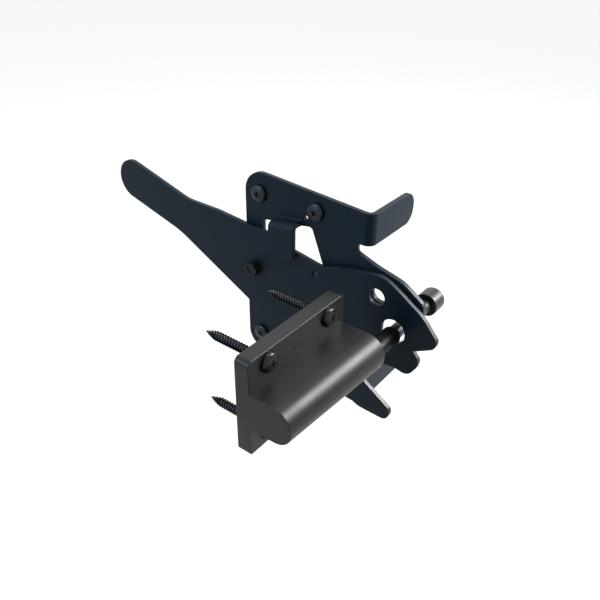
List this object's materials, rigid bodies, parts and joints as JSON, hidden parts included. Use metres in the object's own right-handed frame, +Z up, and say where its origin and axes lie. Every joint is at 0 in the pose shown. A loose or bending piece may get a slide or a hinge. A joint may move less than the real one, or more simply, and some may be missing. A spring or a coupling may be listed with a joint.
{
  "type": "gate latch",
  "caption": "Gravity lever latch for a gate: a pressed post plate with flanges, a long hooked lever, and a screwed-on striker with a pin.",
  "frame": {"origin": "on the post plate's rear face, midway between its upper and lower screws", "axes": "+X toward the hook, +Y into the post, +Z up"},
  "size_m": [0.2405, 0.15, 0.1295],
  "materials": {
    "powder_coat": "satin powder coat",
    "black_hardware": "satin",
    "black_zinc": "satin",
    "satin_black_casting": "satin paint",
    "satin_steel": "satin"
  },
  "bodies": {
    "post_side": {"post_plate": "powder_coat", "pivot_bolt": "black_hardware", "pivot_spacer": "black_hardware", "stop_rivet": "black_hardware", "post_screw_1": "black_zinc", "post_screw_2": "black_zinc", "post_screw_3": "black_zinc", "post_screw_4": "black_zinc"},
    "lever": {"lever": "powder_coat"},
    "striker": {"striker_block": "satin_black_casting", "striker_pin": "satin_steel", "pin_knob": "satin_steel", "striker_screw_1": "black_zinc", "striker_screw_2": "black_zinc", "striker_screw_3": "black_zinc", "striker_screw_4": "black_zinc"}
  },
  "joints": [
    {"name": "lever_pivot", "type": "hinge", "parent": "post_side", "child": "lever", "pos_m": [-0.021, 0, 0.0013], "axis": [0, -1, 0], "range_deg": [0, 20]},
    {"name": "gate_gap", "type": "slide", "parent": "post_side", "child": "striker", "axis": [0, 1, 0], "range_m": [-0.015, 0.015]}
  ]
}
